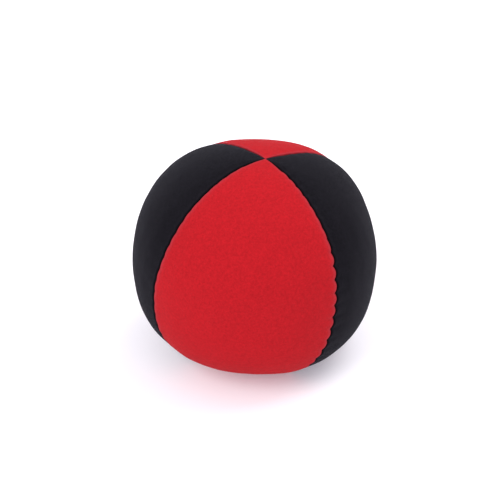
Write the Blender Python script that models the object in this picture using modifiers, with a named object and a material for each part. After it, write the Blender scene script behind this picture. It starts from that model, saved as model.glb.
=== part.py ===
"""Four-panel beanbag juggling ball, resting on the floor as a filled bag does.

The cover is four gores of stretch knit, sewn edge to edge and turned right side out, so each
gore carries a seam allowance that stands inwards along both of its edges. Each seam is a lockstitch:
a needle thread along one allowance and a bobbin thread along the other, which reach for each
other through the needle's holes. The last stretch of one seam is the filling gap, closed by
hand with a single thread that goes from side to side. Inside is the loose grain, as one mass
that the allowances cut into.

Metres, +Z up. The origin is on the floor under the middle of the ball. The ball is shaped about
its own axis, through the two points where the gores meet, and that axis leans a little.
"""

import math

import bmesh
import bpy
from mathutils import Matrix, Vector

# The ball's outer shape: a rounded profile turned about its axis, and cut flat by the floor.
EQUATOR_RADIUS = 0.0335
UPPER_HALF = 0.0302
LOWER_HALF = 0.0305
UPPER_FULLNESS = 2.15  # 2 is an ellipse, and more is squarer
LOWER_FULLNESS = 2.6
EQUATOR_HEIGHT = 0.0293  # the equator's middle above the floor

# How the ball lies.
LEAN = math.radians(5.1)  # its axis, towards +X
TURN = math.radians(-6.6)  # its front panel, about its axis

# The cover.
FABRIC = 0.0008
ALLOWANCE = 0.0045  # how far a seam allowance reaches in from the outer surface
GAP = 0.0003  # between pieces that touch

# The sewing.
THREAD_RADIUS = 0.00015
THREAD_REACH = GAP / 2 + FABRIC + THREAD_RADIUS + 0.00005  # a thread's run off the seam's plane
HOLE_WIDTH = 0.001  # along the seam, room for a thread's way in and out
HOLE_HEIGHT = 0.0009
SEWING_DEPTH = 0.0016
STITCH = 0.0032
HAND_STITCH = 0.0024
SEAM_ENDS = (math.radians(13), math.radians(167))  # angles down from the upper pole
FILLING_GAP = math.radians(118)  # where the machine sewing stops on the back left seam
HAND_SEWING_STARTS = math.radians(123)

# Fineness of the turned shapes.
TURNED_STEPS = 40
PROFILE_STEPS = 22

# Bigger than the ball, for cutters.
REACH = 0.06

PANELS = {
    "panel_red_front": 0,
    "panel_black_right": 90,
    "panel_red_back": 180,
    "panel_black_left": 270,
}
SEAMS = {
    "front_right": 45,
    "back_right": 135,
    "back_left": 225,
    "front_left": 315,
}
HAND_SEWN_SEAM = "back_left"

RED_KNIT = (0.578, 0.019, 0.026)
BLACK_KNIT = (0.016, 0.015, 0.019)
BLACK_THREAD = (0.010, 0.009, 0.011)
GRAIN = (0.62, 0.42, 0.18)

BALL_FRAME = (
    Matrix.Translation((0, 0, EQUATOR_HEIGHT))
    @ Matrix.Rotation(LEAN, 4, "Y")
    @ Matrix.Rotation(TURN, 4, "Z")
)


def clear_scene():
    """Start from an empty scene, with one collection for the ball and one for its cutters."""
    for obj in list(bpy.data.objects):
        bpy.data.objects.remove(obj)
    made = []
    for name in ("juggling_ball", "cutters"):
        collection = bpy.data.collections.new(name)
        bpy.context.scene.collection.children.link(collection)
        made.append(collection)
    return made


def material(name, colour, roughness):
    """A plain Principled material."""
    made = bpy.data.materials.new(name)
    made.use_nodes = True
    shader = made.node_tree.nodes["Principled BSDF"]
    shader.inputs["Base Color"].default_value = (*colour, 1)
    shader.inputs["Roughness"].default_value = roughness
    shader.inputs["Metallic"].default_value = 0
    return made


def profile_point(angle, inset):
    """Distance from the axis and height of the profile, at an angle down from the upper pole."""
    upper = angle < math.pi / 2
    fullness = UPPER_FULLNESS if upper else LOWER_FULLNESS
    half = UPPER_HALF if upper else LOWER_HALF
    across, along = math.sin(angle), math.cos(angle)
    size = (abs(across) ** fullness + abs(along) ** fullness) ** (-1 / fullness)
    return (EQUATOR_RADIUS - inset) * size * across, (half - inset) * size * along


def direction(degrees):
    """The way out from the axis at a longitude, counted from the front panel's middle."""
    angle = math.radians(degrees)
    return Vector((math.sin(angle), -math.cos(angle), 0))


def add_object(name, mesh, collection, frame):
    """A new object of a mesh, placed by a matrix."""
    obj = bpy.data.objects.new(name, mesh)
    collection.objects.link(obj)
    obj.matrix_world = frame
    return obj


def hide(obj):
    """Mark an object as a cutter."""
    obj.hide_render = True
    obj.display_type = "WIRE"
    return obj


def boolean(obj, cutter, operation):
    """Cut, join or keep the common part of an object and another."""
    step = obj.modifiers.new(f"{operation.lower()} {cutter.name}", "BOOLEAN")
    step.operation = operation
    step.object = cutter
    step.solver = "EXACT"


def turned_solid(name, inset, collection):
    """The ball's shape set in by a distance, as a profile turned about the axis."""
    mesh = bpy.data.meshes.new(name)
    outline = bmesh.new()
    below = None
    for step in range(PROFILE_STEPS + 1):
        across, along = profile_point(math.pi * step / PROFILE_STEPS, inset)
        if step in (0, PROFILE_STEPS):
            across = 0
        point = outline.verts.new((across, 0, along))
        if below:
            outline.edges.new((below, point))
        below = point
    outline.to_mesh(mesh)
    outline.free()
    half_step = math.pi / TURNED_STEPS
    obj = add_object(name, mesh, collection, BALL_FRAME @ Matrix.Rotation(half_step, 4, "Z"))
    turn = obj.modifiers.new("turn", "SCREW")
    turn.axis = "Z"
    turn.angle = math.tau
    turn.steps = TURNED_STEPS
    turn.render_steps = TURNED_STEPS
    turn.use_merge_vertices = True
    turn.merge_threshold = 0.0001
    return obj


def box_mesh(name, low, high):
    """A box between two corners."""
    mesh = bpy.data.meshes.new(name)
    box = bmesh.new()
    bmesh.ops.create_cube(box, size=1)
    size = Vector(high) - Vector(low)
    middle = (Vector(high) + Vector(low)) / 2
    bmesh.ops.transform(box, matrix=Matrix.Diagonal(size).to_4x4(), verts=box.verts)
    bmesh.ops.translate(box, vec=middle, verts=box.verts)
    box.to_mesh(mesh)
    box.free()
    return mesh


def floor_cutter(height, collection):
    """Everything below a height, where a bag's layer is pressed flat."""
    name = f"floor_at_{round(height * 1e6)}"
    if name not in bpy.data.objects:
        mesh = box_mesh(name, (-REACH, -REACH, -REACH), (REACH, REACH, height))
        hide(add_object(name, mesh, collection, Matrix()))
    return bpy.data.objects[name]


def resting_solid(name, inset, collection, cutters):
    """The ball's shape set in by a distance, with its flat underside."""
    obj = turned_solid(name, inset, collection)
    boolean(obj, floor_cutter(inset, cutters), "DIFFERENCE")
    return obj


def wedge_cutter(name, middle, clearance, collection):
    """A quarter of space about the axis, set back from the two seams by a clearance."""
    mesh = box_mesh(name, (0, 0, -REACH), (2 * REACH, 2 * REACH, REACH))
    # The box's corner edge lies on the axis, and its two faces there along the seams.
    quarter = Matrix.Rotation(math.radians(middle - 90 - 45), 4, "Z")
    back = Matrix.Translation((clearance, clearance, 0))
    return hide(add_object(name, mesh, collection, BALL_FRAME @ quarter @ back))


def seam_point(longitude, angle, inset, side):
    """A point of a seam's plane, moved sideways off it, kept above the floor by the inset."""
    across, along = profile_point(angle, inset)
    out = direction(longitude)
    sideways = out.cross(Vector((0, 0, 1)))
    point = BALL_FRAME @ (out * across + Vector((0, 0, along)) + sideways * side)
    point.z = max(point.z, inset)
    return point


def stitch_angles(start, end, stitch):
    """Angles of the needle's holes down a seam, one stitch apart along it."""
    angles = [start]
    step = math.radians(0.25)
    travelled = 0
    here = seam_point(0, start, SEWING_DEPTH, 0)
    angle = start
    while angle < end:
        angle += step
        there = seam_point(0, angle, SEWING_DEPTH, 0)
        travelled += (there - here).length
        here = there
        if travelled >= stitch:
            angles.append(angle)
            travelled = 0
    return angles


def seam_runs():
    """Every line of stitches: its seam, the seam's longitude, its holes, and whether by hand."""
    runs = []
    start, end = SEAM_ENDS
    for seam, longitude in SEAMS.items():
        opened = seam == HAND_SEWN_SEAM
        machine_end = FILLING_GAP if opened else end
        runs.append((seam, longitude, stitch_angles(start, machine_end, STITCH), False))
        if opened:
            hand = stitch_angles(HAND_SEWING_STARTS, end, HAND_STITCH)
            runs.append((seam, longitude, hand, True))
    return runs


def needle_holes(name, longitude, angles, collection):
    """Square holes through both allowances of a seam, as one cutter."""
    mesh = bpy.data.meshes.new(name)
    holes = bmesh.new()
    length = 2 * (FABRIC + GAP)
    for angle in angles:
        centre = seam_point(longitude, angle, SEWING_DEPTH, 0)
        end = seam_point(longitude, angle, SEWING_DEPTH, length)
        deeper = seam_point(longitude, angle, ALLOWANCE, 0)
        across = (end - centre).normalized()
        along = across.cross(deeper - centre).normalized()
        frame = Matrix((along, across.cross(along), across)).transposed().to_4x4()
        frame.translation = centre
        size = Matrix.Diagonal((HOLE_WIDTH, HOLE_HEIGHT, length, 1))
        bmesh.ops.create_cube(holes, size=1, matrix=frame @ size)
    holes.to_mesh(mesh)
    holes.free()
    return hide(add_object(name, mesh, collection, Matrix()))


def thread(name, points, finish, collection):
    """A thread through a list of points."""
    curve = bpy.data.curves.new(name, "CURVE")
    curve.dimensions = "3D"
    curve.bevel_depth = THREAD_RADIUS
    curve.bevel_resolution = 1
    curve.use_fill_caps = True
    line = curve.splines.new("POLY")
    line.points.add(len(points) - 1)
    for place, point in zip(line.points, points):
        place.co = (*point, 1)
    curve.materials.append(finish)
    collection.objects.link(bpy.data.objects.new(name, curve))


def lockstitch_points(longitude, angles, side):
    """One of a seam's two threads: along its allowance, and a dip into each hole."""
    turn = (HOLE_WIDTH / 2 - GAP / 2 - THREAD_RADIUS) / EQUATOR_RADIUS
    deepest = GAP / 2 + THREAD_RADIUS
    points = []
    for angle in angles:
        points.append(seam_point(longitude, angle - turn, SEWING_DEPTH, side * THREAD_REACH))
        points.append(seam_point(longitude, angle, SEWING_DEPTH, side * deepest))
        points.append(seam_point(longitude, angle + turn, SEWING_DEPTH, side * THREAD_REACH))
    return points


def hand_stitch_points(longitude, angles):
    """A single thread that goes through both allowances at each hole, and on the far side."""
    points = []
    side = THREAD_REACH
    for angle in angles:
        points.append(seam_point(longitude, angle, SEWING_DEPTH, -side))
        points.append(seam_point(longitude, angle, SEWING_DEPTH, side))
        side = -side
    return points


def sewing(finish, ball, cutters):
    """All the threads, and the cutters of their holes, each with its seam's longitude."""
    holes = []
    for seam, longitude, angles, by_hand in seam_runs():
        kind = "hand" if by_hand else "machine"
        cutter = needle_holes(f"{kind}_holes_{seam}", longitude, angles, cutters)
        holes.append((longitude, cutter))
        if by_hand:
            thread("closing_thread", hand_stitch_points(longitude, angles), finish, ball)
            continue
        for kind, side in (("needle", 1), ("bobbin", -1)):
            points = lockstitch_points(longitude, angles, side)
            thread(f"{kind}_thread_{seam}", points, finish, ball)
    return holes


def panel(name, middle, finish, core, holes, ball, cutters):
    """One gore: the fabric's thickness, with an allowance standing in along both seams."""
    obj = resting_solid(name, 0, ball, cutters)
    inside = resting_solid(f"inside_{name}", FABRIC, cutters, cutters)
    inner_wedge = wedge_cutter(f"inner_wedge_{name}", middle, GAP / 2 + FABRIC, cutters)
    boolean(hide(inside), inner_wedge, "INTERSECT")
    boolean(obj, wedge_cutter(f"wedge_{name}", middle, GAP / 2, cutters), "INTERSECT")
    boolean(obj, core, "DIFFERENCE")
    boolean(obj, inside, "DIFFERENCE")
    for longitude, cutter in holes:
        if abs((longitude - middle + 180) % 360 - 180) == 45:
            boolean(obj, cutter, "DIFFERENCE")
    obj.data.materials.append(finish)
    obj.data.shade_smooth()
    obj.data.set_sharp_from_angle(angle=math.radians(35))


def filling(finish, ball, cutters):
    """The grain, with a slot for each seam's allowances and thread."""
    obj = resting_solid("grain_filling", FABRIC + GAP, ball, cutters)
    half_slot = THREAD_REACH + THREAD_RADIUS + GAP
    cross = Matrix.Rotation(math.radians(45), 4, "Z")
    slabs = []
    for name, low, high in (
        ("slot_one", (-REACH, -half_slot, -REACH), (REACH, half_slot, REACH)),
        ("slot_two", (-half_slot, -REACH, -REACH), (half_slot, REACH, REACH)),
    ):
        mesh = box_mesh(name, low, high)
        slabs.append(hide(add_object(name, mesh, cutters, BALL_FRAME @ cross)))
    kept = hide(resting_solid("kept_core", ALLOWANCE + GAP, cutters, cutters))
    boolean(slabs[0], slabs[1], "UNION")
    boolean(slabs[0], kept, "DIFFERENCE")
    boolean(obj, slabs[0], "DIFFERENCE")
    obj.data.materials.append(finish)


def main():
    ball, cutters = clear_scene()
    red = material("red_knit", RED_KNIT, 0.85)
    black = material("black_knit", BLACK_KNIT, 0.85)
    core = hide(resting_solid("core", ALLOWANCE, cutters, cutters))
    holes = sewing(material("black_thread", BLACK_THREAD, 0.6), ball, cutters)
    for name, middle in PANELS.items():
        finish = red if "red" in name else black
        panel(name, middle, finish, core, holes, ball, cutters)
    filling(material("grain", GRAIN, 0.7), ball, cutters)


main()
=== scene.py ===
"""Finished look of the four-panel beanbag juggling ball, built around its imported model.

Metres, +Z up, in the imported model's own frame. The ball is shaped about its own axis, through the
two points where the gores meet. Longitudes are counted about that axis from the middle of the
front panel, towards the right one, and a polar angle is counted down from the upper pole.
"""

import math

import bmesh
import bpy
import numpy as np
from bpy.props import FloatProperty, FloatVectorProperty, IntProperty, PointerProperty
from mathutils import Euler, Matrix, Vector, noise


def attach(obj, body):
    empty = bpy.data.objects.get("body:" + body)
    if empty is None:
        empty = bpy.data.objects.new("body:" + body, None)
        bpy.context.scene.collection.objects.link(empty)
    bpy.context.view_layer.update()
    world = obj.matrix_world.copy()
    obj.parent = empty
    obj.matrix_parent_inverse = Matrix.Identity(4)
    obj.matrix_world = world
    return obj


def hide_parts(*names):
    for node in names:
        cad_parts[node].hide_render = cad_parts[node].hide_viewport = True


bl_info = {
    "name": "Beanbag juggling ball",
    "version": (1, 0, 0),
    "blender": (4, 5, 0),
    "location": "View3D > Sidebar > Juggling ball",
    "description": "Sews a four-panel beanbag juggling ball round its packed model",
    "category": "Object",
}

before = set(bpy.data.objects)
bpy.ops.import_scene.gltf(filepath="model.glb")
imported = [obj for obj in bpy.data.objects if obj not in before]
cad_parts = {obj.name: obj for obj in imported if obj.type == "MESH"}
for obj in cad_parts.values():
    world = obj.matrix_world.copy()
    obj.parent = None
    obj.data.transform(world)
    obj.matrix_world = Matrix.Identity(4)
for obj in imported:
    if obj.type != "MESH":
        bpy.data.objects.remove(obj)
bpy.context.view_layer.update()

MM = 0.001
BODY = "root"
UP = Vector((0, 0, 1))

# Each panel's middle and each seam, as longitudes in degrees.
PANELS = {
    "panel_red_front": 0,
    "panel_black_right": 90,
    "panel_red_back": 180,
    "panel_black_left": 270,
}
SEAMS = {
    "front_right": 45,
    "back_right": 135,
    "back_left": 225,
    "front_left": 315,
}
SEAM_PLANES = (45, 135)  # each holds two seams, on opposite sides of the axis
QUARTER = 90
HAND_SEWN_SEAM = "back_left"

# Polar angles: where a seam's sewing starts and ends, where the machine stops at the filling gap,
# where the hand sewing starts there, and the step of the search for the needle's holes.
SEAM_ENDS = (math.radians(13), math.radians(167))
FILLING_GAP = math.radians(118)
HAND_SEWING_STARTS = math.radians(123)
ANGLE_STEP = math.radians(0.25)

# How far the knit bulges between two stitches, along the longitudes, and below which polar angle.
LOBES = {
    "front_right": (0.62 * MM, math.radians(60)),
    "back_right": (-0.18 * MM, math.radians(70)),
    "back_left": (0.15 * MM, math.radians(60)),
    "front_left": (-0.13 * MM, math.radians(45)),
}

# How far each seam wanders off its plane, along the longitudes: pairs of a polar angle in degrees
# and a distance. The knit gives unevenly, so no two panels are quite alike.
WANDER = {
    "front_right": (
        (0, 0),
        (10, 0.7 * MM),
        (45, 0.85 * MM),
        (57, 1.2 * MM),
        (75, 0.7 * MM),
        (95, 0.6 * MM),
        (107, 0),
        (122, -1.5 * MM),
        (145, 0),
        (180, 0),
    ),
    "back_right": ((0, 0), (20, -0.3 * MM), (60, 0.5 * MM), (110, -0.4 * MM), (150, 0), (180, 0)),
    "back_left": ((0, 0), (20, 0.3 * MM), (70, -0.4 * MM), (115, 0.5 * MM), (150, 0), (180, 0)),
    "front_left": (
        (0, 0),
        (10, -0.95 * MM),
        (35, -0.45 * MM),
        (60, 0.05 * MM),
        (75, -0.3 * MM),
        (92, -1.5 * MM),
        (110, -1.0 * MM),
        (130, 0),
        (180, 0),
    ),
}
WANDER_EASE = 5  # degrees over which one stretch of a seam's wandering eases into the next

# Where the grain has left the bag fuller or slacker: the way out (azimuth from +X towards +Y, and
# elevation, in degrees), how far it stands out, and how wide the swelling is, in degrees.
SETTLED = (
    (8, 12, -0.6 * MM, 15),
    (33, 40, 0.7 * MM, 18),
    (90, 56, -0.85 * MM, 18),
    (147, 40, 0.35 * MM, 20),
    (-29, -36, 0.35 * MM, 25),
    (-116, -54, -0.3 * MM, 15),
    (-90, -50, -0.5 * MM, 20),
    (-88, -55, -0.4 * MM, 13),
)
SINK = 2.4 * MM  # how hard the lowest part is pressed onto the floor
SINK_REACH = 4 * MM  # and up to what height it is pressed at all
UNEVEN = ((85, 0.15 * MM), (240, 0.05 * MM))  # the grain's lumps: how many to a metre, and height

# The knit beside a seam. What the seam does to it fades with the distance from the seam's plane.
NARROWING = 0.6  # the gore is drawn back from its seam within this share of the way to its middle
LOBE_FADE = 1.6 * MM
WANDER_FADE = 9 * MM
DIP_FADE = 2.2 * MM
LEAST_DIP = 0.08 * MM  # how far a stitch pulls the knit inwards
DIP_PER_LOBE = 0.3  # and this share of the seam's bulges is added
DIPS_START = (2 * MM, 8 * MM)  # from the axis, between no dip and the full one
FOLDS_START = (-1 * MM, 6 * MM)  # from the axis, between a sharp fold and the full radius
LOBE_ROUNDNESS = 0.75  # 1 is a sine, and less is fuller
LOBE_MIDDLE = 0.6  # share of a lobe's height that lies on the seam's own line
LOBES_EASE = 0.15  # radians over which the lobes set in
LOBES_END = (math.radians(150), math.radians(165))
EDGE_FADE = 0.45 * MM  # of the paler edge of a panel
EDGE_PALENESS = 0.55  # 1 is the edge colour: the stretched knit, with a painted highlight of the fold
BASE = 0.3 * MM  # below this height, an allowance stands straight up from the floor

# Points closer to each other, or to a seam's plane, than these count as touching.
TOUCHING = 0.01 * MM
ON_RIM = 0.03 * MM
ON_FLOOR = 0.001 * MM

# Fineness of the cover, the threads and the filling.
ROWS = 60  # of one gore, from pole to pole
COLUMNS = 16
REFINING = 2
FOLD_STEPS = 4
ALLOWANCE_STEPS = 3
THREAD_CUTS = 3  # of each stretch between two of a thread's points
CORE_ROWS = 36

# The swelling of the bag. The cloth solver suits pieces of about a metre, so it gets the bag
# enlarged.
ENLARGED = 10
SWELLING_MOMENTS = 20


def length_setting(name, description, default):
    return FloatProperty(name=name, description=description, default=default, unit="LENGTH")


def angle_setting(name, description, default):
    return FloatProperty(name=name, description=description, default=default, unit="ROTATION")


def power_setting(name, description, default):
    return FloatProperty(name=name, description=description, default=default, unit="POWER")


def colour_setting(name, description, default):
    return FloatVectorProperty(
        name=name, description=description, default=default, subtype="COLOR"
    )


class BallShape(bpy.types.PropertyGroup):
    """Outer shape of the ball, and how it lies."""

    equator_radius: length_setting(
        "Equator radius", "Distance of the widest ring from the ball's axis", 33.5 * MM
    )
    upper_half: length_setting(
        "Upper half", "Height of the upper pole above the equator, along the axis", 30.2 * MM
    )
    lower_half: length_setting(
        "Lower half", "Depth of the lower pole below the equator, along the axis", 30.5 * MM
    )
    upper_fullness: FloatProperty(
        name="Upper fullness",
        description="Roundness of the upper half: 2 is an ellipse, and more is squarer",
        default=2.15,
    )
    lower_fullness: FloatProperty(
        name="Lower fullness",
        description="Roundness of the lower half: 2 is an ellipse, and more is squarer",
        default=2.6,
    )
    equator_height: length_setting(
        "Equator height", "Height of the equator's middle above the floor", 29.3 * MM
    )
    lean: angle_setting("Lean", "How far the ball's axis leans towards +X", math.radians(5.1))
    turn: angle_setting(
        "Turn", "How far the front panel is turned about the ball's axis", math.radians(-6.6)
    )


class CoverSettings(bpy.types.PropertyGroup):
    """The four knit panels."""

    fabric: length_setting("Fabric", "Thickness of the stretched knit", 0.48 * MM)
    allowance: length_setting(
        "Allowance", "How far a seam allowance reaches in from the outer surface", 4.5 * MM
    )
    fold_radius: length_setting(
        "Fold radius", "Radius of the knit where it turns into a seam", 0.6 * MM
    )
    gap: length_setting("Gap", "Clearance between the two panels of a seam", 0.08 * MM)
    slack: length_setting("Slack", "How far the bag starts inside its filled shape", 0.1 * MM)
    pressure: FloatProperty(
        name="Pressure",
        description="How hard the grain presses on the cover from inside",
        default=24,
    )
    give_limit: length_setting(
        "Give limit", "The furthest that a point of the cover may be pressed outwards", 0.9 * MM
    )
    red: colour_setting("Red knit", "Colour of the front and back panels", (0.415, 0.0088, 0.0140))
    black: colour_setting(
        "Black knit", "Colour of the left and right panels", (0.0050, 0.0043, 0.0066)
    )
    wale: length_setting("Wale", "Width of one column of the knit's loops", 0.46 * MM)
    course: length_setting("Course", "Height of one row of the knit's loops", 0.38 * MM)


class SewingSettings(bpy.types.PropertyGroup):
    """The threads of the four seams."""

    thread_radius: length_setting("Thread radius", "Radius of the sewing thread", 0.15 * MM)
    depth: length_setting("Sewing depth", "Depth of the stitches below the outer surface", 1.6 * MM)
    stitch: length_setting("Stitch", "Length of a machine stitch", 3.2 * MM)
    hand_stitch: length_setting(
        "Hand stitch", "Length of a stitch of the closed filling gap", 2.4 * MM
    )
    dip: length_setting(
        "Dip", "Distance along the seam over which a thread dips to the hole's middle", 0.3 * MM
    )
    colour: colour_setting("Thread", "Colour of the sewing thread", (0.011, 0.010, 0.012))


class GrainSettings(bpy.types.PropertyGroup):
    """The filling."""

    grain_radius: length_setting("Grain radius", "Longest radius of a grain", 1.2 * MM)
    layers: IntProperty(
        name="Layers",
        description="Layers of separate grains over the packed core",
        default=2,
    )
    layer_step: length_setting(
        "Layer step", "How much deeper each layer lies than the one over it", 1.9 * MM
    )
    inset: length_setting(
        "Inset", "Depth of the outermost grains below the ball's outer surface", 1.1 * MM
    )
    slot: length_setting(
        "Slot", "Half the width that the grain leaves for a seam's allowances and threads", 1.6 * MM
    )
    seed: IntProperty(
        name="Seed",
        description="Start of the random numbers that scatter the grains",
        default=7,
    )
    colour: colour_setting("Grain", "Middle colour of the grain", (0.62, 0.42, 0.18))


class StageSettings(bpy.types.PropertyGroup):
    """Floor, lights and camera."""

    floor_size: length_setting("Floor size", "Width of the floor", 6)
    floor: colour_setting("Floor", "Colour of the floor", (0.82, 0.82, 0.84))
    key_power: power_setting("Key power", "Power of the large light at the upper left", 6.5)
    top_power: power_setting(
        "Top power", "Power of the second large light, high at the right", 7.0
    )
    fill_strength: FloatProperty(
        name="Fill strength",
        description="Strength of the light from all round",
        default=1.07,
    )
    camera_distance: length_setting(
        "Camera distance", "Distance of the camera from the ball's middle", 0.469
    )
    camera_elevation: angle_setting(
        "Camera elevation", "How far the camera looks down", math.radians(33.6)
    )
    lens: FloatProperty(
        name="Lens",
        description="Focal length in millimetres",
        default=122.4,
    )


class BallSettings(bpy.types.PropertyGroup):
    """Everything that can be changed."""

    shape: PointerProperty(type=BallShape)
    cover: PointerProperty(type=CoverSettings)
    sewing: PointerProperty(type=SewingSettings)
    grain: PointerProperty(type=GrainSettings)
    stage: PointerProperty(type=StageSettings)


# ---------------------------------------------------------------- shape of the ball


def ball_frame(shape):
    """Where the ball's own axis and front lie."""
    return (
        Matrix.Translation((0, 0, shape.equator_height))
        @ Matrix.Rotation(shape.lean, 4, "Y")
        @ Matrix.Rotation(shape.turn, 4, "Z")
    )


def profile_point(shape, angle, inset):
    """Distance from the axis and height of the profile, at a polar angle."""
    upper = angle < math.pi / 2
    fullness = shape.upper_fullness if upper else shape.lower_fullness
    half = shape.upper_half if upper else shape.lower_half
    across, along = math.sin(angle), math.cos(angle)
    size = (abs(across) ** fullness + abs(along) ** fullness) ** (-1 / fullness)
    return (shape.equator_radius - inset) * size * across, (half - inset) * size * along


def direction(degrees):
    """The way out from the axis at a longitude."""
    angle = math.radians(degrees)
    return Vector((math.sin(angle), -math.cos(angle), 0))


def sideways(degrees):
    """The way of growing longitudes at a longitude."""
    return direction(degrees + QUARTER)


def profile_line(mesh, shape, rows, inset, longitude):
    """The points and edges of the profile at a longitude, from pole to pole."""
    line = []
    for row in range(rows + 1):
        across, along = profile_point(shape, math.pi * row / rows, inset)
        if row in (0, rows):
            across = 0
        line.append(mesh.verts.new(direction(longitude) * across + UP * along))
    return line + [mesh.edges.new(pair) for pair in zip(line, line[1:])]


def seam_point(shape, longitude, angle, inset, side):
    """A point of a seam's plane, moved off it, kept above the floor by the inset."""
    across, along = profile_point(shape, angle, inset)
    point = direction(longitude) * across + UP * along - sideways(longitude) * side
    return rested(shape, ball_frame(shape) @ point, inset)


def rested(shape, point, height=0):
    """The point, or where it would be if pressed up to a height, along the ball's axis."""
    if point.z >= height:
        return point
    axis = ball_frame(shape).to_3x3() @ UP
    return point + axis * (height - point.z) / axis.z


def settled(shape, place):
    """How far a place of the bag stands out, where the grain has settled and the knit gives."""
    out = (place - ball_frame(shape).translation).normalized()
    height = sum(noise.noise(place * scale) * size for scale, size in UNEVEN)
    for azimuth, elevation, size, spread in SETTLED:
        turn, tilt = math.radians(azimuth), math.radians(elevation)
        level = Vector((math.cos(turn), math.sin(turn), 0))
        way = level * math.cos(tilt) + UP * math.sin(tilt)
        off = math.degrees(out.angle(way)) / spread
        height += size * math.exp(-0.5 * off * off)
    return height


def stitch_angles(shape, depth, start, end, stitch):
    """Polar angles of the needle's holes down a seam, one stitch apart along it."""
    angles = [start]
    travelled = 0
    here = seam_point(shape, 0, start, depth, 0)
    angle = start
    while angle < end:
        angle += ANGLE_STEP
        there = seam_point(shape, 0, angle, depth, 0)
        travelled += (there - here).length
        here = there
        if travelled >= stitch:
            angles.append(angle)
            travelled = 0
    return angles


def holes_of(shape, sewing, seam):
    """The machine's needle holes of a seam and the hand stitches' holes, as polar angles."""
    start, end = SEAM_ENDS
    if seam != HAND_SEWN_SEAM:
        return stitch_angles(shape, sewing.depth, start, end, sewing.stitch), []
    machine = stitch_angles(shape, sewing.depth, start, FILLING_GAP, sewing.stitch)
    hand = stitch_angles(shape, sewing.depth, HAND_SEWING_STARTS, end, sewing.hand_stitch)
    return machine, hand


def seam_wander(seam, angle):
    """How far a seam's line lies off its plane, at a polar angle, along the longitudes."""
    places, sizes = zip(*WANDER[seam])
    degrees = math.degrees(angle)
    around = [degrees + step * WANDER_EASE for step in (-1, -0.5, 0, 0.5, 1)]
    return float(np.mean(np.interp(around, places, sizes)))


def smooth_step(low, high, value):
    """0 below low, 1 above high, with an even rise between."""
    share = min(max((value - low) / (high - low), 0), 1)
    return share * share * (3 - 2 * share)


# ---------------------------------------------------------------- objects


def finished_mesh(name, source):
    """A mesh made from a bmesh, which is then freed."""
    mesh = bpy.data.meshes.new(name)
    source.to_mesh(mesh)
    source.free()
    return mesh


def new_piece(name, mesh, finish):
    """A finished piece of the ball, on its body."""
    piece = bpy.data.objects.new(name, mesh)
    bpy.context.scene.collection.objects.link(piece)
    mesh.materials.clear()
    mesh.materials.append(finish)
    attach(piece, BODY)
    return piece


def evaluated(mesh, prepare):
    """The mesh after the modifiers that prepare() gives its object."""
    obj = bpy.data.objects.new("work", mesh)
    bpy.context.scene.collection.objects.link(obj)
    prepare(obj)
    graph = bpy.context.evaluated_depsgraph_get()
    made = bpy.data.meshes.new_from_object(obj.evaluated_get(graph), depsgraph=graph)
    bpy.data.objects.remove(obj)
    return made


# ---------------------------------------------------------------- finishes


class Value:
    """A number that changes over a surface. Python's operators add the Math nodes."""

    def __init__(self, finish, socket):
        self.finish = finish
        self.socket = socket

    def maths(self, operation, *numbers):
        sockets = dict(enumerate(numbers))
        return self.finish.add("ShaderNodeMath", {"operation": operation}, sockets)

    def __add__(self, other):
        return self.maths("ADD", self, other)

    def __sub__(self, other):
        return self.maths("SUBTRACT", self, other)

    def __mul__(self, other):
        return self.maths("MULTIPLY", self, other)

    def __truediv__(self, other):
        return self.maths("DIVIDE", self, other)

    def __abs__(self):
        return self.maths("ABSOLUTE", self)

    def __rsub__(self, other):
        return self.maths("SUBTRACT", other, self)

    __radd__ = __add__
    __rmul__ = __mul__

    def fraction(self):
        return self.maths("FRACT", self)

    def cosine(self):
        return self.maths("COSINE", self)


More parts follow.
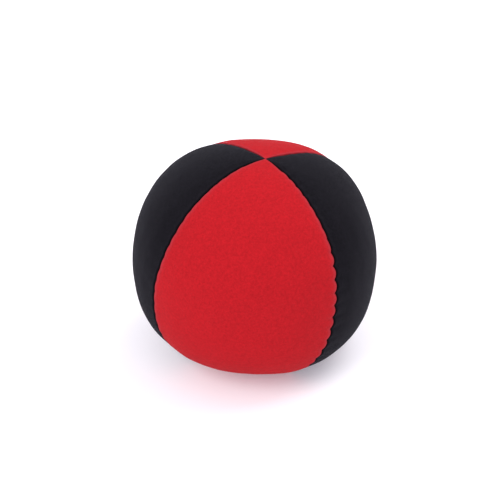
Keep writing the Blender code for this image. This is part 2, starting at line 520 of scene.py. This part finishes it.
class Finish:
    """A material under construction."""

    def __init__(self, name):
        self.material = bpy.data.materials.new(name)
        self.material.use_nodes = True
        self.tree = self.material.node_tree
        self.shader = self.tree.nodes["Principled BSDF"]

    def add(self, kind, settings=None, sockets=None, output=0):
        """A node of a type, with its settings, then its sockets' values or links."""
        node = self.tree.nodes.new(kind)
        for name, setting in (settings or {}).items():
            if name == "stops":
                self.fill_ramp(node.color_ramp, setting)
            else:
                setattr(node, name, setting)
        for name, value in (sockets or {}).items():
            self.put(node.inputs[name], value)
        return Value(self, node.outputs[output])

    def put(self, socket, value):
        """Link or set one socket."""
        if isinstance(value, Value):
            self.tree.links.new(value.socket, socket)
        else:
            socket.default_value = value

    def fill_ramp(self, ramp, stops):
        """Give a colour ramp its stops, each a place and a colour."""
        while len(ramp.elements) < len(stops):
            ramp.elements.new(1)
        for element, (place, colour) in zip(ramp.elements, stops):
            element.position = place
            element.color = (*colour, 1)

    def noise(self, coordinates, scale, detail=3, roughness=0.5):
        sockets = {"Vector": coordinates, "Scale": scale, "Detail": detail, "Roughness": roughness}
        return self.add("ShaderNodeTexNoise", {}, sockets)

    def blend(self, share, first, second, mode="MIX"):
        """A colour between two, by a share."""
        settings = {"data_type": "RGBA", "blend_type": mode}
        # A Mix node's colour sockets are numbers 6 and 7, and its colour output is number 2.
        return self.add("ShaderNodeMix", settings, {0: share, 6: first, 7: second}, output=2)

    def bump(self, height, distance, normal=None, strength=1):
        sockets = {"Height": height, "Distance": distance, "Strength": strength}
        if normal:
            sockets["Normal"] = normal
        return self.add("ShaderNodeBump", {}, sockets)

    def object_coordinates(self):
        return self.add("ShaderNodeTexCoord", output=3)

    def separated(self, vector):
        """The three numbers of a vector."""
        node = self.add("ShaderNodeSeparateXYZ", {}, {0: vector}).socket.node
        return [Value(self, socket) for socket in node.outputs]

    def constants(self, **values):
        """Numbers and colours that are the same all over, set on the shader."""
        for name, value in values.items():
            self.shader.inputs[name.replace("_", " ")].default_value = value

    def drive(self, name, value):
        """Let a value or colour reach a socket of the shader."""
        self.put(self.shader.inputs[name], value)


def rgba(colour, factor=1):
    """A colour with its alpha, made darker or lighter by a factor."""
    return (*(part * factor for part in colour), 1)


# How the two knits differ: the paler colour of an edge, partly its stretched knit and partly a painted
# highlight of the fold, the contrast of its speckles and of the painted shade between its loops, the
# strength and tint of its fluff's sheen, and its gloss.
RED_LOOK = {
    "edge": (0.35, 0.042, 0.057),
    "contrast": 0.33,
    "sheen": 0.022,
    "sheen_tint": (1, 0.6, 0.6),
    "gloss": 0.06,
}
BLACK_LOOK = {
    "edge": (0.0100, 0.0085, 0.0120),
    "contrast": 0.95,
    "sheen": 0.035,
    "sheen_tint": (0.8, 0.8, 1),
    "gloss": 0.055,
}


def knit(name, cover, colour, edge, contrast, sheen, sheen_tint, gloss):
    """Fine stretch knit: columns of V-shaped loops with painted shade between them, a little fluff, a
    paler fold with a painted highlight, and painted shade in the seams.
    """
    finish = Finish(name)
    place = finish.object_coordinates()
    flat = finish.add("ShaderNodeUVMap", {"uv_map": "cut"})
    across, along, _ = finish.separated(flat)

    from_middle = abs((across / cover.wale).fraction() - 0.5)
    leg = 1 - abs(from_middle - 0.25) * 4
    loop = ((along / cover.course + from_middle * 1.6) * math.tau).cosine() * 0.5 + 0.5
    loops = leg * (loop * 0.45 + 0.55)

    cloudy = finish.noise(place, 95, 4, 0.55)
    speckled = finish.noise(place, 1500, 3, 0.75)
    fluff = finish.noise(place, 5200, 2, 0.7)
    folded = finish.add("ShaderNodeAttribute", {"attribute_name": "fold"}, output=2)
    painted_crease_shade = finish.add("ShaderNodeAttribute", {"attribute_name": "crease"}, output=2)
    speckles = (speckled - 0.5) * 2 + 0.5

    deeper = finish.blend(cloudy, rgba(colour, 0.93), rgba(colour, 1.06))
    # Speckles are the knit's own uneven tone. The loops add painted shade: darker in their grooves,
    # lighter on their crests.
    speckles_and_loop_shade = finish.blend(
        loops * 0.4 + speckles * 0.6,
        rgba((1 - contrast,) * 3),
        rgba((1 + contrast,) * 3),
    )
    fabric = finish.blend(1, deeper, speckles_and_loop_shade, "MULTIPLY")
    # Paler along the fold: partly the stretched knit, partly a painted highlight of the fold.
    stretched_edge_and_highlight = finish.blend(folded * (speckled * 0.6 + 0.45), fabric, rgba(edge))
    # Painted shade: in a seam, the knit's fold and allowance go dark, to 8% of its colour.
    finish.drive("Base Color", finish.blend(painted_crease_shade * 0.9, stretched_edge_and_highlight, rgba(colour, 0.08)))
    finish.drive("Roughness", 0.80 + speckled * 0.12 - loops * 0.04)

    pebbled = finish.noise(place, 420, 1, 0.4)
    lumpy = finish.bump(pebbled, 0.09 * MM, strength=0.6)
    soft = finish.bump(speckled, 0.14 * MM, lumpy, 0.6)
    fluffy = finish.bump(fluff, 0.05 * MM, soft, 0.5)
    finish.drive("Normal", finish.bump(loops, 0.07 * MM, fluffy, 0.7))
    finish.constants(
        Sheen_Weight=sheen,
        Sheen_Roughness=0.45,
        Sheen_Tint=rgba(sheen_tint),
        Specular_IOR_Level=gloss,
    )
    return finish.material


def twisted_thread(name, sewing):
    """Spun thread with plies that wind round it."""
    finish = Finish(name)
    place = finish.object_coordinates()
    flat = finish.add("ShaderNodeUVMap", {"uv_map": "ply"})
    along, around, _ = finish.separated(flat)
    ply = ((along + around * 3) * math.tau).cosine() * 0.5 + 0.5
    fibres = finish.noise(place, 9000, 2, 0.6)
    shade = finish.blend(ply, rgba(sewing.colour, 0.6), rgba(sewing.colour, 1.6))
    finish.drive("Base Color", shade)
    finish.drive("Roughness", 0.55 + fibres * 0.2)
    hairy = finish.bump(fibres, 0.02 * MM, strength=0.4)
    finish.drive("Normal", finish.bump(ply, 0.05 * MM, hairy, 0.8))
    finish.constants(Sheen_Weight=0.15, Sheen_Roughness=0.4)
    return finish.material


def husk(name, grain):
    """Millet-like grain: each one a little different in shade, with a blotched husk."""
    finish = Finish(name)
    place = finish.object_coordinates()
    each = finish.add("ShaderNodeAttribute", {"attribute_name": "grain"}, output=2)
    stops = (
        (0.0, [part * 0.55 for part in grain.colour]),
        (0.45, grain.colour),
        (1.0, [min(part * 1.35, 1) for part in grain.colour]),
    )
    own = finish.add("ShaderNodeValToRGB", {"stops": stops}, {0: each})
    blotched = finish.noise(place, 1400, 3, 0.6)
    shade = finish.blend(blotched * 0.5, own, rgba(grain.colour, 0.4))
    finish.drive("Base Color", shade)
    finish.drive("Roughness", 0.42 + blotched * 0.25)
    finish.drive("Normal", finish.bump(blotched, 0.04 * MM, strength=0.5))
    return finish.material


def paper(name, colour):
    """Plain matt floor with the least grain. A faint glow keeps the ball's shadow light."""
    finish = Finish(name)
    place = finish.object_coordinates()
    grain = finish.noise(place, 240, 3, 0.5)
    finish.drive("Base Color", finish.blend(grain, rgba(colour, 0.995), rgba(colour)))
    finish.drive("Roughness", 0.85 + grain * 0.05)
    finish.constants(
        Specular_IOR_Level=0.1,
        Emission_Color=(1, 0.86, 1, 1),
        Emission_Strength=0.2,
    )
    return finish.material


# ---------------------------------------------------------------- cover


def blank_bag(shape, cover):
    """The empty bag: each gore is the profile spun through a quarter turn, and all are joined."""
    bag = bmesh.new()
    for number, middle in enumerate(PANELS.values()):
        made_before = len(bag.faces)
        bmesh.ops.spin(
            bag,
            geom=profile_line(bag, shape, ROWS, cover.slack, middle - QUARTER / 2),
            cent=(0, 0, 0),
            axis=UP,
            angle=math.radians(QUARTER),
            steps=COLUMNS,
        )
        bag.faces.ensure_lookup_table()
        for face in bag.faces[made_before:]:
            face.material_index = number
    bmesh.ops.remove_doubles(bag, verts=bag.verts, dist=TOUCHING)
    bmesh.ops.recalc_face_normals(bag, faces=bag.faces)
    bmesh.ops.transform(bag, matrix=ball_frame(shape), verts=bag.verts)
    for point in bag.verts:
        point.co = rested(shape, point.co)
    return finished_mesh("bag", bag)


def held_points(mesh, shape):
    """The points on the seams and on the floor, which the swelling leaves in place."""
    back = ball_frame(shape).inverted()
    held = []
    for point in mesh.vertices:
        local = back @ point.co
        off_seams = [abs(local.dot(sideways(longitude))) for longitude in SEAM_PLANES]
        if point.co.z < ON_FLOOR or min(off_seams) < TOUCHING:
            held.append(point.index)
    return held


def swollen_bag(shape, cover):
    """The bag swollen by its filling, by a cloth simulation that only pressure drives."""
    mesh = blank_bag(shape, cover)
    held = held_points(mesh, shape)
    mesh.transform(Matrix.Scale(ENLARGED, 4))
    started = [point.co.copy() for point in mesh.vertices]

    def press(obj):
        obj.vertex_groups.new(name="held").add(held, 1, "REPLACE")
        cloth = obj.modifiers.new("cloth", "CLOTH")
        cloth.settings.vertex_group_mass = "held"
        cloth.settings.mass = 0.01
        cloth.settings.tension_stiffness = 5
        cloth.settings.compression_stiffness = 5
        cloth.settings.use_pressure = True
        cloth.settings.uniform_pressure_force = cover.pressure
        cloth.settings.effector_weights.gravity = 0
        cloth.settings.quality = 6
        for moment in range(1, SWELLING_MOMENTS + 1):
            bpy.context.scene.frame_set(moment)

    made = evaluated(mesh, press)
    bpy.context.scene.frame_set(1)
    limit = cover.give_limit * ENLARGED
    for point, start in zip(made.vertices, started):
        way = point.co - start
        if way.length > limit:
            point.co = start + way.normalized() * limit
    made.transform(Matrix.Scale(1 / ENLARGED, 4))
    return made


def one_gore(bag_mesh, number):
    """One panel's part of the bag, made finer."""
    gore = bmesh.new()
    gore.from_mesh(bag_mesh)
    others = [face for face in gore.faces if face.material_index != number]
    bmesh.ops.delete(gore, geom=others, context="FACES")
    sharp = gore.verts.layers.float.new("crease_vert")
    for point in gore.verts:
        if point.is_boundary and len(point.link_faces) > 2:
            point[sharp] = 1

    def refine(obj):
        finer = obj.modifiers.new("finer", "SUBSURF")
        finer.levels = REFINING
        finer.render_levels = REFINING
        finer.boundary_smooth = "PRESERVE_CORNERS"

    return evaluated(finished_mesh("gore", gore), refine)


class Gore:
    """One panel of the cover being sewn: where its two seams are and how they pull at it."""

    def __init__(self, name, settings):
        self.settings = settings
        self.shape = settings.shape
        self.cover = settings.cover
        self.middle = PANELS[name]
        self.to_ball = ball_frame(self.shape).inverted()
        self.turned = ball_frame(self.shape).to_3x3()
        self.seams = []
        for side in (1, -1):
            longitude = (self.middle + side * QUARTER / 2) % 360
            seam = next(name for name, place in SEAMS.items() if place == longitude)
            machine, hand = holes_of(self.shape, settings.sewing, seam)
            away = sideways(longitude) * side
            self.seams.append((seam, side, away, machine + hand))

    def stitch_lobe(self, holes, angle):
        """0 at a stitch and 1 midway between two, at a polar angle."""
        count = float(np.interp(angle, holes, range(len(holes))))
        return abs(math.sin(math.pi * count)) ** LOBE_ROUNDNESS

    def seam_shift(self, seam, side, holes, angle):
        """How far the seam's line is pushed away from this panel between its stitches."""
        size, starts = LOBES[seam]
        ends = 1 - smooth_step(*LOBES_END, angle)
        begins = smooth_step(starts - LOBES_EASE, starts + LOBES_EASE, angle)
        return side * size * (self.stitch_lobe(holes, angle) - LOBE_MIDDLE) * begins * ends

    def flat_place(self, local):
        """Where a point of the ball was on the flat cut: across it, and along it."""
        out = math.hypot(local.x, local.y)
        longitude = math.degrees(math.atan2(local.x, -local.y)) - self.middle
        longitude = (longitude + 180) % 360 - 180
        if out < TOUCHING:
            longitude = 0
        polar = math.atan2(out, local.z)
        return math.radians(longitude) * out, polar * self.shape.equator_radius

    def sew(self, mesh):
        """Settle the fine gore, draw it back from its seams, and turn its edges in."""
        gore = bmesh.new()
        gore.from_mesh(mesh)
        gore.loops.layers.uv.new("cut")
        gore.verts.layers.float.new("fold")
        gore.verts.layers.float.new("crease")
        gore.normal_update()
        tucked = {}
        moved = {}
        marks = {}
        for point in gore.verts:
            local = self.to_ball @ point.co
            out = max(math.hypot(local.x, local.y), ON_FLOOR)
            polar = math.atan2(out, local.z)
            radius = self.cover.fold_radius * smooth_step(*FOLDS_START, out)
            push = Vector()
            dip = 0
            rim = []
            nearest = min(-local.dot(away) for seam, side, away, holes in self.seams)
            for seam, side, away, holes in self.seams:
                off = -local.dot(away)
                shift = self.seam_shift(seam, side, holes, polar)
                near = max(0, 1 - off / (NARROWING * out)) ** 2
                push -= away * (radius + self.cover.gap / 2) * near
                push += away * shift * math.exp(-off / LOBE_FADE)
                wander = sideways(SEAMS[seam]) * seam_wander(seam, polar)
                push += wander * math.exp(-off / WANDER_FADE)
                close = math.exp(-off / DIP_FADE) * smooth_step(*DIPS_START, out)
                pull = LEAST_DIP + DIP_PER_LOBE * abs(LOBES[seam][0])
                dip += close * pull * (1 - self.stitch_lobe(holes, polar))
                if point.is_boundary and off < ON_RIM:
                    rim.append(away)
            normal = point.normal.copy()
            place = point.co + normal * (settled(self.shape, point.co) - dip)
            place += self.turned @ push
            place.z -= SINK * max(0, 1 - place.z / SINK_REACH) ** 2
            moved[point] = (place, self.flat_place(local))
            marks[point] = (EDGE_PALENESS * math.exp(-nearest / EDGE_FADE), 0)
            if rim:
                tucked[point] = (rim, radius)
        for point, (place, flat) in moved.items():
            point.co = rested(self.shape, place)
        rims = {}
        for point, (rim, radius) in tucked.items():
            away = self.turned @ sum(rim, Vector())
            down = point.normal - away.normalized() * point.normal.dot(away.normalized())
            if len(rim) > 1:
                down = self.turned @ UP * (1 if point.co.z > self.shape.equator_height else -1)
            if point.co.z < BASE:
                down = -UP
            rims[point] = (point.co.copy(), away, down.normalized(), radius, moved[point][1])
        flats = {point: flat for point, (place, flat) in moved.items()}
        steps = []
        for step in range(1, FOLD_STEPS + 1):
            steps.append((math.pi / 2 * step / FOLD_STEPS, 0))
        for step in range(1, ALLOWANCE_STEPS + 1):
            steps.append((math.pi / 2, step / ALLOWANCE_STEPS))
        current = {point: point for point in rims}
        for turn, share in steps:
            edges = [edge for edge in gore.edges if edge.is_boundary]
            made = bmesh.ops.extrude_edge_only(gore, edges=edges)["geom"]
            following = {}
            for point in made:
                if not isinstance(point, bmesh.types.BMVert):
                    continue
                before = next(
                    edge.other_vert(point)
                    for edge in point.link_edges
                    if edge.other_vert(point) in current
                )
                origin = current[before]
                start, away, out, radius, flat = rims[origin]
                sunk = radius * (1 - math.cos(turn))
                sunk += share * (self.cover.allowance - radius)
                point.co = start + away * radius * math.sin(turn) - out * sunk
                following[point] = origin
                past = radius * turn + share * (self.cover.allowance - radius)
                flats[point] = (flat[0] + math.copysign(past, flat[0]), flat[1])
                # The fold's arc and the allowance carry the painted shade of the seam's crease.
                marks[point] = (EDGE_PALENESS, math.sin(turn) ** 2)
            current = following
        self.dress(gore, flats, marks)
        return gore

    def dress(self, gore, flats, marks):
        """Give the gore its flat cut's coordinates, and mark its paler folds and the painted shade in
        its creases.
        """
        cut = gore.loops.layers.uv["cut"]
        fold = gore.verts.layers.float["fold"]
        crease = gore.verts.layers.float["crease"]
        for point in gore.verts:
            point[fold], point[crease] = marks[point]
        for face in gore.faces:
            face.smooth = True
            face.material_index = 0
            for loop in face.loops:
                loop[cut].uv = flats[loop.vert]


class BALL_OT_cover(bpy.types.Operator):
    """Sew the four knit panels"""

    bl_idname = "ball.cover"
    bl_label = "Cover"

    def execute(self, context):
        settings = context.scene.juggling_ball
        cover = settings.cover
        finishes = {
            "red_knit": knit("red_knit_finish", cover, cover.red, **RED_LOOK),
            "black_knit": knit("black_knit_finish", cover, cover.black, **BLACK_LOOK),
        }
        bag = swollen_bag(settings.shape, cover)
        for number, name in enumerate(PANELS):
            sewn = Gore(name, settings).sew(one_gore(bag, number))
            mesh = finished_mesh(f"{name}_knit", sewn)
            slot = "red_knit" if "red" in name else "black_knit"
            piece = new_piece(f"{name}_knit", mesh, finishes[slot])
            thick = piece.modifiers.new("knit thickness", "SOLIDIFY")
            thick.thickness = cover.fabric
            thick.offset = -1
            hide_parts(name)
            width, length, area = self.cut_size(settings)
        return {"FINISHED"}

    def cut_size(self, settings):
        """Width, length and area of one panel's flat cut, with its seam allowances."""
        shape, allowance = settings.shape, settings.cover.allowance
        points = [profile_point(shape, math.pi * row / ROWS, 0) for row in range(ROWS + 1)]
        length = area = 0
        for (out, up), (next_out, next_up) in zip(points, points[1:]):
            step = math.hypot(next_out - out, next_up - up)
            length += step
            area += step * (out + next_out) / 2 * math.pi / 2
        width = shape.equator_radius * math.pi / 2 + 2 * allowance
        area += 2 * length * allowance
        return width, length + 2 * allowance, area


# ---------------------------------------------------------------- sewing


def thread(name, points, radius):
    """A round thread through a list of points, as a mesh with its plies' coordinates."""
    curve = bpy.data.curves.new(name, "CURVE")
    curve.dimensions = "3D"
    curve.bevel_depth = radius
    curve.bevel_resolution = 2
    curve.use_fill_caps = True
    line = curve.splines.new("POLY")
    line.points.add(len(points) - 1)
    for place, point in zip(line.points, points):
        place.co = (*point, 1)
    obj = bpy.data.objects.new(name, curve)
    bpy.context.scene.collection.objects.link(obj)
    graph = bpy.context.evaluated_depsgraph_get()
    mesh = bpy.data.meshes.new_from_object(obj.evaluated_get(graph), depsgraph=graph)
    bpy.data.objects.remove(obj)
    mesh.shade_smooth()
    return mesh


def thread_reach(settings):
    """Distance from a seam's line to a thread that lies along its allowance."""
    return settings.cover.gap / 2 + settings.cover.fabric + settings.sewing.thread_radius


def sewn_point(settings, seam, angle, side):
    """A place of a thread, on one side of its seam's line."""
    off = side - seam_wander(seam, angle)
    return seam_point(settings.shape, SEAMS[seam], angle, settings.sewing.depth, off)


def smoothed(points, cuts):
    """More points between each two, on a Catmull-Rom curve through all of them."""
    finer = []
    longer = [points[0], *points, points[-1]]
    for before, start, end, after in zip(longer, longer[1:], longer[2:], longer[3:]):
        for cut in range(cuts):
            share = cut / cuts
            bend = (
                start * 2
                + (end - before) * share
                + (before * 2 - start * 5 + end * 4 - after) * share**2
                + (start * 3 - before - end * 3 + after) * share**3
            )
            finer.append(bend / 2)
    finer.append(points[-1])
    return finer


class BALL_OT_machine_threads(bpy.types.Operator):
    """Run the machine's needle and bobbin threads down the four seams"""

    bl_idname = "ball.machine_threads"
    bl_label = "Machine threads"

    def execute(self, context):
        settings = context.scene.juggling_ball
        finish = twisted_thread("machine_thread_finish", settings.sewing)
        for seam in SEAMS:
            machine, _ = holes_of(settings.shape, settings.sewing, seam)
            for kind, side in (("needle", 1), ("bobbin", -1)):
                points = self.lockstitch(settings, seam, machine, side)
                name = f"{kind}_thread_{seam}"
                mesh = thread(name, smoothed(points, THREAD_CUTS), settings.sewing.thread_radius)
                mesh.uv_layers[0].name = "ply"
                piece = new_piece(f"{name}_twist", mesh, finish)
                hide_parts(name)
        return {"FINISHED"}

    def lockstitch(self, settings, seam, angles, side):
        """One of a seam's two threads: along its allowance, and a dip at each hole."""
        sewing = settings.sewing
        middle = settings.cover.gap / 2 + sewing.thread_radius
        turn = sewing.dip / settings.shape.equator_radius
        reach = thread_reach(settings)
        points = []
        for angle in angles:
            for off, place in ((-turn, reach), (0, middle), (turn, reach)):
                points.append(sewn_point(settings, seam, angle + off, side * place))
        return points


class BALL_OT_closing_thread(bpy.types.Operator):
    """Close the filling gap by hand"""

    bl_idname = "ball.closing_thread"
    bl_label = "Closing thread"

    def execute(self, context):
        settings = context.scene.juggling_ball
        sewing = settings.sewing
        _, hand = holes_of(settings.shape, sewing, HAND_SEWN_SEAM)
        side = thread_reach(settings)
        points = []
        for angle in hand:
            points.append(sewn_point(settings, HAND_SEWN_SEAM, angle, -side))
            points.append(sewn_point(settings, HAND_SEWN_SEAM, angle, side))
            side = -side
        mesh = thread("closing_thread", smoothed(points, THREAD_CUTS), sewing.thread_radius)
        mesh.uv_layers[0].name = "ply"
        finish = twisted_thread("closing_thread_finish", sewing)
        piece = new_piece("closing_thread_twist", mesh, finish)
        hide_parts("closing_thread")
        return {"FINISHED"}


# ---------------------------------------------------------------- filling

GRAIN_SHAPE = (1, 0.93, 0.86)  # a grain's three radii, as shares of its longest one
GRAIN_SIZES = (0.92, 1.06)  # of the smallest grain and the largest one
SLOT_CROWDING = 0.85  # share of a grain's radius that stays clear of a slot
CORE_SINK = 0.3  # how far the deepest layer stands out of the core, as a share of a layer's step
CORE_MOTTLING = 400  # patches of one shade to a metre
ROW_PITCH = 0.87  # of two rows of grains, as a share of a grain's width
JITTER = 0.1  # of a grain along its row, as a share of its width


class BALL_OT_filling(bpy.types.Operator):
    """Fill the bag with grain"""

    bl_idname = "ball.filling"
    bl_label = "Filling"

    def execute(self, context):
        settings = context.scene.juggling_ball
        chance = np.random.default_rng(settings.grain.seed)
        filling = self.core(settings)
        grain = self.one_grain()
        for number in range(settings.grain.layers + 1):
            for middle in PANELS.values():
                for place in self.places(settings, number, middle, chance):
                    self.drop(filling, grain, place, settings.grain.grain_radius, chance)
        mesh = finished_mesh("grain_filling_grains", filling)
        mesh.shade_smooth()
        finish = husk("grain_finish", settings.grain)
        piece = new_piece("grain_filling_grains", mesh, finish)
        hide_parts("grain_filling")
        return {"FINISHED"}

    def core(self, settings):
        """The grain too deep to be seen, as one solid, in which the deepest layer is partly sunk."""
        shape, grain = settings.shape, settings.grain
        inset = grain.inset + (grain.layers + CORE_SINK) * grain.layer_step
        core = bmesh.new()
        bmesh.ops.spin(
            core,
            geom=profile_line(core, shape, CORE_ROWS, inset, 0),
            cent=(0, 0, 0),
            axis=UP,
            angle=math.tau,
            steps=2 * CORE_ROWS,
            use_merge=True,
        )
        bmesh.ops.remove_doubles(core, verts=core.verts, dist=TOUCHING)
        bmesh.ops.recalc_face_normals(core, faces=core.faces)
        bmesh.ops.transform(core, matrix=ball_frame(shape), verts=core.verts)
        shade = core.verts.layers.float.new("grain")
        for point in core.verts:
            point.co = rested(shape, point.co, inset)
            point[shade] = noise.noise(point.co * CORE_MOTTLING) * 0.5 + 0.5
        return core

    def one_grain(self):
        """A ball of radius 1, from which each grain is made."""
        ball = bmesh.new()
        ball.verts.layers.float.new("grain")
        bmesh.ops.create_uvsphere(ball, u_segments=6, v_segments=4, radius=1)
        return finished_mesh("grain", ball)

    def drop(self, filling, grain, place, radius, chance):
        """Add one grain, with a size, a turn and a shade of its own."""
        mesh = grain.copy()
        size = Vector(GRAIN_SHAPE) * radius * chance.uniform(*GRAIN_SIZES)
        mesh.transform(Matrix.LocRotScale(place, Euler(chance.uniform(0, math.tau, 3)), size))
        shades = [chance.uniform()] * len(mesh.vertices)
        mesh.attributes["grain"].data.foreach_set("value", shades)
        filling.from_mesh(mesh)
        bpy.data.meshes.remove(mesh)

    def places(self, settings, number, middle, chance):
        """Where one layer's grains lie behind one panel: in rows, clear of the seams' slots.

        The deepest layer only lies where the slots would lay the core bare.
        """
        shape, grain = settings.shape, settings.grain
        width = 2 * grain.grain_radius
        inset = grain.inset + grain.grain_radius + number * grain.layer_step
        clear = grain.slot + SLOT_CROWDING * grain.grain_radius
        centre = ball_frame(shape).translation
        deepest = number == grain.layers
        found = []
        angle = 0
        row = 0
        while angle < math.pi:
            across, along = profile_point(shape, angle, inset)
            count = max(round(across * math.pi / 2 / width), 1)
            stagger = 0.25 + 0.5 * (row % 2)
            for step in range(count):
                share = (step + stagger + chance.uniform(-JITTER, JITTER)) / count
                way = direction(middle + (share - 0.5) * QUARTER)
                local = way * across + UP * along
                off = min(abs(local.dot(sideways(longitude))) for longitude in SEAM_PLANES)
                if deepest and off < clear + width or not deepest and off > clear:
                    place = rested(shape, ball_frame(shape) @ local, inset)
                    out = (place - centre).normalized()
                    found.append(place + out * settled(shape, place))
            angle += ROW_PITCH * width / math.hypot(across, along)
            row += 1
        return found


# ---------------------------------------------------------------- stage

# Each lamp's place, width and colour.
LAMPS = {
    "key": ((-0.66, -0.62, 0.85), 0.65, (1, 0.985, 0.97)),
    "top": ((0.56, 0.30, 1.02), 0.80, (1, 0.99, 0.98)),
}
LAMPS_AIM = Vector((0, 0, 30 * MM))
SURROUNDINGS = (0.955, 0.95, 1)
FLOOR_GAP = 0.02 * MM  # keeps the floor clear of the ball's flat base
VIEW_SHIFT = (-0.0108, 0.0048)  # of the camera's picture, as shares of its width


class BALL_OT_stage(bpy.types.Operator):
    """Set the floor, the lights and the camera"""

    bl_idname = "ball.stage"
    bl_label = "Stage"

    def execute(self, context):
        settings = context.scene.juggling_ball
        stage = settings.stage
        self.lay_floor(stage)
        self.light(stage, context.scene)
        self.place_camera(settings, context.scene)
        context.scene.view_settings.view_transform = "Standard"
        return {"FINISHED"}

    def lay_floor(self, stage):
        sheet = bmesh.new()
        bmesh.ops.create_grid(sheet, x_segments=1, y_segments=1, size=stage.floor_size / 2)
        mesh = finished_mesh("floor", sheet)
        mesh.materials.append(paper("floor_finish", stage.floor))
        floor = bpy.data.objects.new("floor", mesh)
        bpy.context.scene.collection.objects.link(floor)
        floor.location.z = -FLOOR_GAP

    def light(self, stage, scene):
        world = bpy.data.worlds.new("studio")
        world.use_nodes = True
        background = world.node_tree.nodes["Background"]
        background.inputs["Color"].default_value = rgba(SURROUNDINGS)
        background.inputs["Strength"].default_value = stage.fill_strength
        scene.world = world
        powers = {"key": stage.key_power, "top": stage.top_power}
        for name, (place, size, colour) in LAMPS.items():
            lamp = bpy.data.lights.new(name, "AREA")
            lamp.shape = "SQUARE"
            lamp.size = size
            lamp.energy = powers[name]
            lamp.color = colour
            obj = bpy.data.objects.new(name, lamp)
            scene.collection.objects.link(obj)
            obj.location = place
            obj.rotation_euler = (LAMPS_AIM - Vector(place)).to_track_quat("-Z", "Y").to_euler()

    def place_camera(self, settings, scene):
        stage = settings.stage
        view = bpy.data.cameras.new("camera")
        view.sensor_width = 36
        view.lens = stage.lens
        view.shift_x, view.shift_y = VIEW_SHIFT
        camera = bpy.data.objects.new("camera", view)
        scene.collection.objects.link(camera)
        tilt = stage.camera_elevation
        back = Vector((0, -math.cos(tilt), math.sin(tilt)))
        centre = ball_frame(settings.shape).translation
        camera.location = centre + back * stage.camera_distance
        camera.rotation_euler = (-back).to_track_quat("-Z", "Y").to_euler()
        scene.camera = camera


# ---------------------------------------------------------------- panel and start

OPERATORS = (
    BALL_OT_stage,
    BALL_OT_cover,
    BALL_OT_machine_threads,
    BALL_OT_closing_thread,
    BALL_OT_filling,
)


class BALL_PT_panel(bpy.types.Panel):
    """Lists the ball's pieces and their settings"""

    bl_idname = "BALL_PT_panel"
    bl_label = "Juggling ball"
    bl_space_type = "VIEW_3D"
    bl_region_type = "UI"
    bl_category = "Juggling ball"

    def draw(self, context):
        settings = context.scene.juggling_ball
        for group in BallSettings.__annotations__:
            box = self.layout.box()
            box.label(text=group.capitalize())
            part = getattr(settings, group)
            for name in type(part).__annotations__:
                box.prop(part, name)
        for operator in OPERATORS:
            self.layout.operator(operator.bl_idname)


CLASSES = (
    BallShape,
    CoverSettings,
    SewingSettings,
    GrainSettings,
    StageSettings,
    BallSettings,
    *OPERATORS,
    BALL_PT_panel,
)


def register():
    for cls in CLASSES:
        bpy.utils.register_class(cls)
    bpy.types.Scene.juggling_ball = PointerProperty(type=BallSettings)


def unregister():
    del bpy.types.Scene.juggling_ball
    for cls in reversed(CLASSES):
        bpy.utils.unregister_class(cls)


def main():
    """Register the add-on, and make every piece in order."""
    register()
    bpy.ops.ball.stage()
    bpy.ops.ball.cover()
    bpy.ops.ball.machine_threads()
    bpy.ops.ball.closing_thread()
    bpy.ops.ball.filling()


if __name__ == "__main__":
    main()
